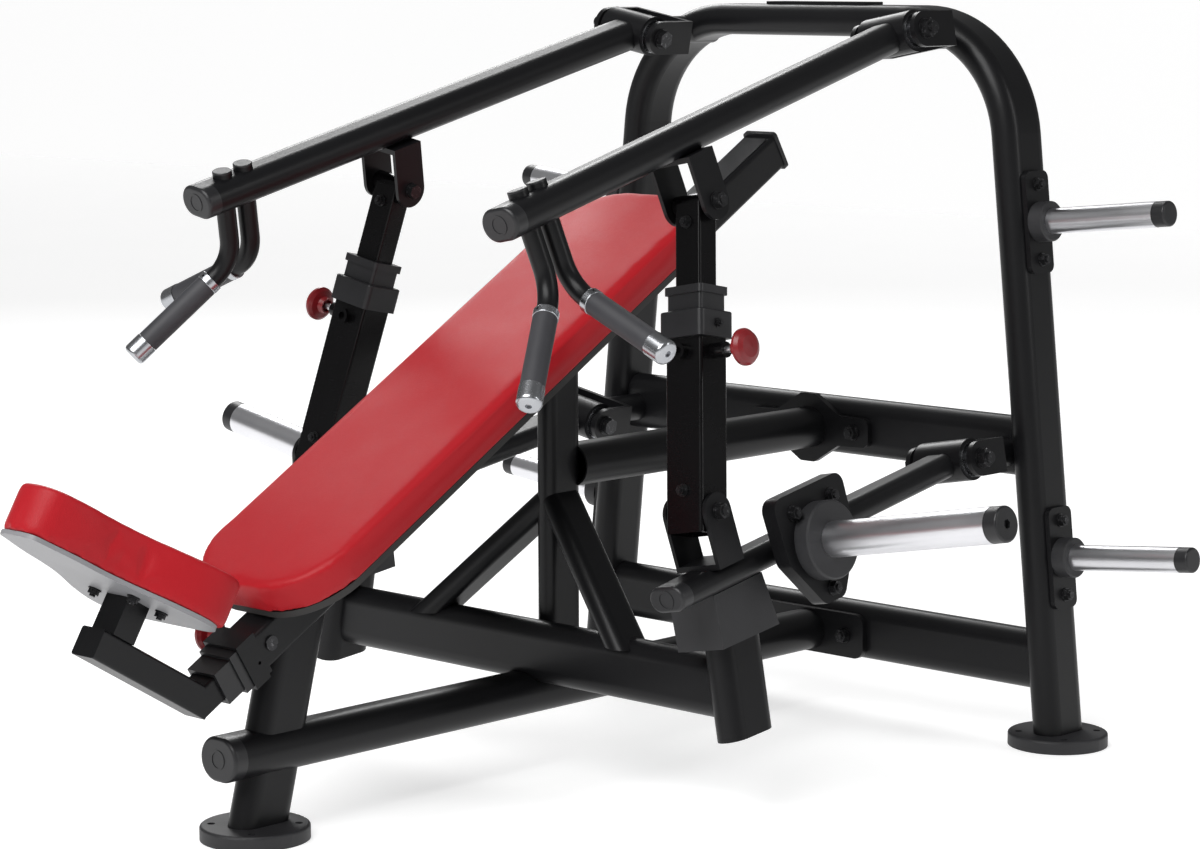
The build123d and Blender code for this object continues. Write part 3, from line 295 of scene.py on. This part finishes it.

# %% [markdown]
# Gym upholstery is vinyl on a knitted back: a red skin with a shallow
# leather grain pressed in by a roller, cells about a millimetre across with
# soft creases between them. Voronoi cells give the pebbles, stretched noise
# the creases, and the creases are also painted darker as painted shade. The
# colour drifts a little, as dye and cleaning leave it.

# %% Red vinyl
def red_vinyl_skin():
    skin = Finish("red_vinyl", IOR=1.5, Coat_Roughness=0.30, Specular_IOR_Level=0.16)
    where = place(skin)
    drift = cloudy(skin, where, 3.2, 4.0, 0.55)
    pebbles = cells(skin, where, 620.0)
    gaps = cells(skin, where, 620.0, "DISTANCE_TO_EDGE")
    creases_and_painted_shade = cloudy(skin, place(skin, (1, 2.2, 1)), 240.0, 5.0, 0.6)
    polish = between(skin, cloudy(skin, where, 9.0, 5.0, 0.6), 0.42, 0.70)
    colour = blend_colours(skin, drift, (0.330, 0.008, 0.013, 1), (0.400, 0.012, 0.018, 1))
    # Painted shade: the creases darken the red towards a deeper red; the same noise also sets roughness and
    # relief.
    colour = blend_colours(skin, creases_and_painted_shade * 0.22, colour, (0.22, 0.005, 0.009, 1))
    skin.feed("Base Color", colour)
    skin.feed("Roughness", 0.40 + creases_and_painted_shade * 0.10 - polish * 0.08)
    skin.feed("Coat Weight", polish * 0.03)
    relief(skin, between(skin, gaps, 0.0, 0.25) * 0.6 + creases_and_painted_shade * 0.8 - pebbles * 0.3, 0.00022, 0.5)
    return skin.material


red_vinyl = red_vinyl_skin()
print("vinyl:", red_vinyl.name)

# %% [markdown]
# Each CAD node names the slot it takes its finish from, so dressing the
# whole machine is one small table and one loop. Doing it node by node would
# work too, but then a new bolt could be forgotten.

# %% Dress the frame
finishes = {
    "frame_black": frame_black, "strut_black": strut_black, "chrome_bar": chrome_bar,
    "zinc_bolts": bolt_steel, "polished_aluminium": polished_aluminium,
    "red_knob": red_knob, "red_vinyl": red_vinyl, **moulded_finishes,
}
slot_of = {part["node"]: part["material_slot"] for part in record["subparts"]}


def dress(thing, material):
    thing.data.materials.clear()
    thing.data.materials.append(material)


for name, thing in nodes.items():
    dress(thing, finishes[slot_of[name]])
print("dressed", len(nodes), "nodes")

# %% [markdown]
# A pad is a board, a slab of foam and a stretched cover. The foam pushes
# the vinyl out until it is tight, so the top is nearly flat and the edge is
# a tight roll. We could sculpt that, but a short cloth simulation with
# pressure does what the foam does. First we need an outline, and a closed
# slab raised from it, a little smaller than the finished pad.

# %% Outlines of the two pads
def rounded_outline(half_width, low, high, radius, steps=14):
    corners = (
        (half_width - radius, low + radius, -90), (half_width - radius, high - radius, 0),
        (radius - half_width, high - radius, 90), (radius - half_width, low + radius, 180),
    )
    points = []
    for x, y, start in corners:
        for k in range(steps + 1):
            angle = radians(start + 90.0 * k / steps)
            points.append((x + radius * cos(angle), y + radius * sin(angle)))
    return points


def smooth_line(knots, steps=10):
    points = []
    for k in range(len(knots) - 1):
        a, b, c, d = (knots[max(0, min(len(knots) - 1, k + j))] for j in (-1, 0, 1, 2))
        for step in range(steps):
            t = step / steps
            points.append(tuple(
                0.5 * (2 * b[i] + (c[i] - a[i]) * t + (2 * a[i] - 5 * b[i] + 4 * c[i] - d[i]) * t ** 2
                       + (3 * b[i] - a[i] - 3 * c[i] + d[i]) * t ** 3) for i in (0, 1)))
    return points


print("outline helpers ready")

# %% Raise a closed slab from an outline
FOAM_SHY = 0.0016       # the slab starts this much thinner than the pad
EDGE_ROLL = 0.0055      # radius of the rolled edge
SIDE_SHY = 0.0018       # and this much inside its outline


def slab(name, outline, pad_thickness):
    """Rings of points from the underside, round the rolled edge, to the top."""
    thickness = pad_thickness - FOAM_SHY
    edge = [Vector(p) for p in outline]
    count = len(edge)
    middle = sum(edge, Vector((0, 0))) / count
    outward = []
    for k in range(count):
        run = (edge[(k + 1) % count] - edge[k - 1]).normalized()
        outward.append(Vector((run.y, -run.x)))
    shoulder = thickness - EDGE_ROLL
    levels = [(SIDE_SHY, 0.0), (SIDE_SHY, thickness * 0.3), (SIDE_SHY, shoulder)]
    for turn in (radians(22), radians(45), radians(68), radians(90)):
        levels.append((SIDE_SHY + EDGE_ROLL * (1 - cos(turn)), shoulder + EDGE_ROLL * sin(turn)))
    build = bmesh.new()
    rings = []
    for shrink, height in levels:
        rings.append([build.verts.new((*(p - n * shrink), height)) for p, n in zip(edge, outward)])
    for lower, upper in zip(rings, rings[1:]):
        for k in range(count):
            build.faces.new((lower[k], lower[(k + 1) % count], upper[(k + 1) % count], upper[k]))
    for ring, height, flip in ((rings[0], 0.0, True), (rings[-1], thickness, False)):
        hub_point = build.verts.new((*middle, height))
        for k in range(count):
            corner = (ring[k], ring[(k + 1) % count], hub_point)
            build.faces.new(corner[::-1] if flip else corner)
    bmesh.ops.recalc_face_normals(build, faces=build.faces)
    mesh = bpy.data.meshes.new(name)
    build.to_mesh(mesh)
    build.free()
    thing = bpy.data.objects.new(name, mesh)
    bpy.context.scene.collection.objects.link(thing)
    return thing


print("slab ready")

# %% [markdown]
# Now the foam. The slab is remeshed into an even grid so that the cloth can
# stretch the same way everywhere, then pressure swells it for twenty short
# steps with no gravity. We limit how far each point may travel, keep the
# underside flat where the board holds it, and bake the result into the mesh.

# %% Swell a slab like foam under vinyl
def use_modifier(thing, kind, **settings):
    modifier = thing.modifiers.new(kind.lower(), kind)
    for key, value in settings.items():
        setattr(modifier, key, value)
    return modifier


def bake_shape(thing):
    graph = bpy.context.evaluated_depsgraph_get()
    mesh = bpy.data.meshes.new_from_object(thing.evaluated_get(graph))
    thing.modifiers.clear()
    thing.data = mesh


SWELL_LIMIT = 0.0016
SWELL_PRESSURE = 1.5


def stuff_pad(thing, voxel):
    use_modifier(thing, "REMESH", mode="VOXEL", voxel_size=voxel)
    bake_shape(thing)
    start = [v.co.copy() for v in thing.data.vertices]
    cloth = use_modifier(thing, "CLOTH")
    cloth.settings.use_pressure = True
    cloth.settings.uniform_pressure_force = SWELL_PRESSURE
    cloth.settings.effector_weights.gravity = 0.0
    cloth.settings.mass = 0.35
    cloth.settings.tension_stiffness = 12.0
    cloth.settings.compression_stiffness = 12.0
    cloth.settings.bending_stiffness = 1.5
    for step in range(1, 21):
        bpy.context.scene.frame_set(step)
        bpy.context.evaluated_depsgraph_get()
    bake_shape(thing)
    bpy.context.scene.frame_set(1)
    for vertex, home in zip(thing.data.vertices, start):
        move = vertex.co - home
        if move.length > SWELL_LIMIT:
            move = move * (SWELL_LIMIT / move.length)
        vertex.co = home + move
        vertex.co.z = max(vertex.co.z, 0.0)


print("foam ready")

# %% [markdown]
# The cover is stretched over the board and stapled underneath, and tension
# in it leaves shallow gathers where it turns the round corners. They fade
# out over a few centimetres. We add them to the sides only, as low waves
# whose height depends on how tight the outline turns.

# %% Tension gathers round the corners
def gather(thing, turning, thickness, depth):
    for vertex in thing.data.vertices:
        strength, along = turning(vertex.co.x, vertex.co.y)
        side = max(0.0, 1.0 - abs(vertex.co.z / thickness - 0.25) / 0.45)
        ripple = sin(along) + 0.5 * sin(along * 2.3 + 1.0)
        push = Vector((vertex.normal.x, vertex.normal.y, 0.0))
        vertex.co += push * (ripple * depth * strength * side)


def finish_pad(thing, body, node, home, material):
    use_modifier(thing, "SMOOTH", factor=0.5, iterations=2)
    use_modifier(thing, "SUBSURF", levels=1, render_levels=1)
    bake_shape(thing)
    for face in thing.data.polygons:
        face.use_smooth = True
    thing.data.transform(home)
    dress(thing, material)
    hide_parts(node)
    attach(thing, body)


print("pad finishing ready")

# %% [markdown]
# The bench leans back by 30.5 degrees. The pad's home frame is the bench's:
# X across, Y up the slope, Z out of the cushion. Its place is a fixed
# point, taken from the CAD board underneath.

# %% Back pad
BENCH_LEAN = radians(30.5)
PAD_THICK = 0.048
PAD_HALF_WIDTH = 0.1325
PAD_LOW, PAD_HIGH = -0.247, 0.696       # its two ends, measured up the slope
bench_point = Vector((0.0, -0.25085, 0.479))


def bench_home(depth):
    turn = Matrix.Rotation(BENCH_LEAN, 4, "X")
    normal = turn @ Vector((0, 0, 1))
    return Matrix.Translation(bench_point - normal * depth) @ turn


back_outline = rounded_outline(PAD_HALF_WIDTH, PAD_LOW, PAD_HIGH, 0.100)
back_pad = slab("back_cushion", back_outline, PAD_THICK)
stuff_pad(back_pad, voxel=0.0052)


def back_turning(x, y):
    near_end = max(0.0, abs(y - (PAD_LOW + PAD_HIGH) / 2) - 0.37) / 0.10
    return min(1.0, near_end), x * 150.0


gather(back_pad, back_turning, PAD_THICK, 0.0006)
finish_pad(back_pad, "frame", "back_pad", bench_home(PAD_THICK), red_vinyl)

# %% [markdown]
# The seat is a tongue: wide behind, waisted, and narrow in front so that
# the thighs can pass on either side. Its flanks are S-curves. The outline is
# drawn as a few knots on one side, smoothed, and mirrored.

# %% Seat pad
SEAT_RISE = radians(31.2)
SEAT_THICK = 0.066
right_knots = [
    (0.0, 0.0), (0.035, 0.0), (0.070, 0.001), (0.108, 0.010), (0.125, 0.036), (0.120, 0.070), (0.102, 0.110),
    (0.079, 0.150), (0.064, 0.195), (0.057, 0.240), (0.043, 0.284), (0.022, 0.301), (0.0, 0.305),
]
right_side = smooth_line(right_knots, 6)
left_side = [(-x, y) for x, y in reversed(right_side[1:])]
seat_outline = right_side + [right_knots[-1]] + left_side
seat_pad = slab("seat_cushion", seat_outline, SEAT_THICK)
stuff_pad(seat_pad, voxel=0.0048)


def seat_turning(x, y):
    front = max(0.0, y - 0.24) / 0.06
    rear = max(0.0, 0.05 - y) / 0.05
    return min(1.0, front + rear), x * 170.0


gather(seat_pad, seat_turning, SEAT_THICK, 0.0005)
print("seat outline points:", len(seat_outline))

# %% Put the seat pad on its plate
AXIS_DROP = 0.0915          # slide axis below the board, square to the slope
KINK_AT = -0.3832           # where the slide turns into the seat arm
PLATE_RISE = 0.0783         # top of the seat plate above the arm's axis
PAD_AHEAD = 0.081           # rear edge of the pad beyond the kink, along the arm
up_slope = Vector((0, cos(BENCH_LEAN), sin(BENCH_LEAN)))
into_slope = Vector((0, sin(BENCH_LEAN), -cos(BENCH_LEAN)))
corner = bench_point + up_slope * KINK_AT + into_slope * AXIS_DROP
ahead = Vector((0, -cos(SEAT_RISE), sin(SEAT_RISE)))
upward = Vector((0, sin(SEAT_RISE), cos(SEAT_RISE)))
seat_origin = corner + ahead * PAD_AHEAD + upward * PLATE_RISE
seat_home = Matrix((
    (-1, 0, 0, seat_origin.x), (0, ahead.y, upward.y, seat_origin.y),
    (0, ahead.z, upward.z, seat_origin.z), (0, 0, 0, 1),
))
finish_pad(seat_pad, "seat_slide", "seat_pad", seat_home, red_vinyl)

# %% [markdown]
# A product picture is taken on a pale sweep: no horizon, soft light from
# large panels, a little shadow under the feet. A big near-white plane with
# a glow of its own serves as floor and a glowing wall stands behind, so that
# both stay white while the black tubes stay black. The wall is left out of
# reflections, which would whiten the tubes' top faces. The world gives a
# faint fill, and three broad lights draw the highlights.

# %% Floor and light
def floor_paint():
    paint = Finish("pale_floor", IOR=1.3, Emission_Strength=0.62)
    where = place(paint)
    faint = cloudy(paint, where, 2.0, 3.0)
    paint.feed("Base Color", blend_colours(paint, faint, (0.60, 0.60, 0.60, 1), (0.62, 0.62, 0.62, 1)))
    paint.feed("Emission Color", blend_colours(paint, faint, (0.98, 0.98, 0.98, 1), (1, 1, 1, 1)))
    paint.feed("Roughness", 0.75 + faint * 0.1)
    relief(paint, faint, 0.0001, 0.2)
    return paint.material


def backdrop_sheet(name, corners):
    mesh = bpy.data.meshes.new(name)
    mesh.from_pydata(corners, [], [(0, 1, 2, 3)])
    sheet = bpy.data.objects.new(name, mesh)
    bpy.context.scene.collection.objects.link(sheet)
    return sheet


REACH, LEVEL = 40.0, -0.0005
floor = backdrop_sheet("sweep", [
    (-REACH, -REACH, LEVEL), (REACH, -REACH, LEVEL), (REACH, REACH, LEVEL), (-REACH, REACH, LEVEL)])
dress(floor, floor_paint())

wall = backdrop_sheet("backdrop", [(-30, 9, -1), (0.5, 9, -1), (0.5, 9, 16), (-30, 9, 16)])


def glowing_paper():
    paper = Finish("backdrop_paper", IOR=1.3, Emission_Strength=0.85)
    faint = cloudy(paper, place(paper), 0.4, 2.0)
    paper.feed("Base Color", blend_colours(paper, faint, (0.20, 0.20, 0.20, 1), (0.22, 0.22, 0.22, 1)))
    paper.feed("Emission Color", blend_colours(paper, faint, (0.99, 0.99, 0.99, 1), (1, 1, 1, 1)))
    paper.feed("Roughness", 0.9 + faint * 0.05)
    return paper.material


dress(wall, glowing_paper())
wall.visible_glossy = False

world = bpy.data.worlds.new("studio")
bpy.context.scene.world = world
world.use_nodes = True
world.node_tree.nodes["Background"].inputs["Color"].default_value = (1.0, 1.0, 1.0, 1)
world.node_tree.nodes["Background"].inputs["Strength"].default_value = 0.18


def panel(name, spot, aim, width, height, power):
    lamp = bpy.data.lights.new(name, "AREA")
    lamp.shape = "RECTANGLE"
    lamp.size = width
    lamp.size_y = height
    lamp.energy = power
    thing = bpy.data.objects.new(name, lamp)
    thing.location = spot
    thing.rotation_euler = (Vector(aim) - Vector(spot)).to_track_quat("-Z", "Y").to_euler()
    bpy.context.scene.collection.objects.link(thing)
    return thing


panel("top_panel", (0.6, -3.4, 4.2), (0, 0, 0.4), 3.6, 3.6, 300)
panel("side_panel", (4.5, 1.8, 2.4), (0, 0, 0.6), 0.8, 3.0, 42)
panel("back_panel", (-4.0, 3.0, 3.5), (0, 0, 0.5), 2.5, 1.5, 110)
print("stage set")

# %% [markdown]
# A long lens keeps the tubes straight and the far side nearly as large as
# the near side. The camera stands off the seat-end corner, a little above
# the arch, and looks slightly down.

# %% Camera
lens = bpy.data.cameras.new("camera")
lens.sensor_width = 36.0
lens.lens = 101.1
camera = bpy.data.objects.new("camera", lens)
camera.location = (3.391, -3.31395, 1.1755)
turn = Matrix.Rotation(radians(43.643), 4, "Z") @ Matrix.Rotation(radians(90 - 7.905), 4, "X")
camera.rotation_euler = (turn @ Matrix.Rotation(radians(-0.153), 4, "Z")).to_euler()
bpy.context.scene.collection.objects.link(camera)
bpy.context.scene.camera = camera
bpy.context.scene.view_settings.view_transform = "Standard"
print("camera at", tuple(camera.location))
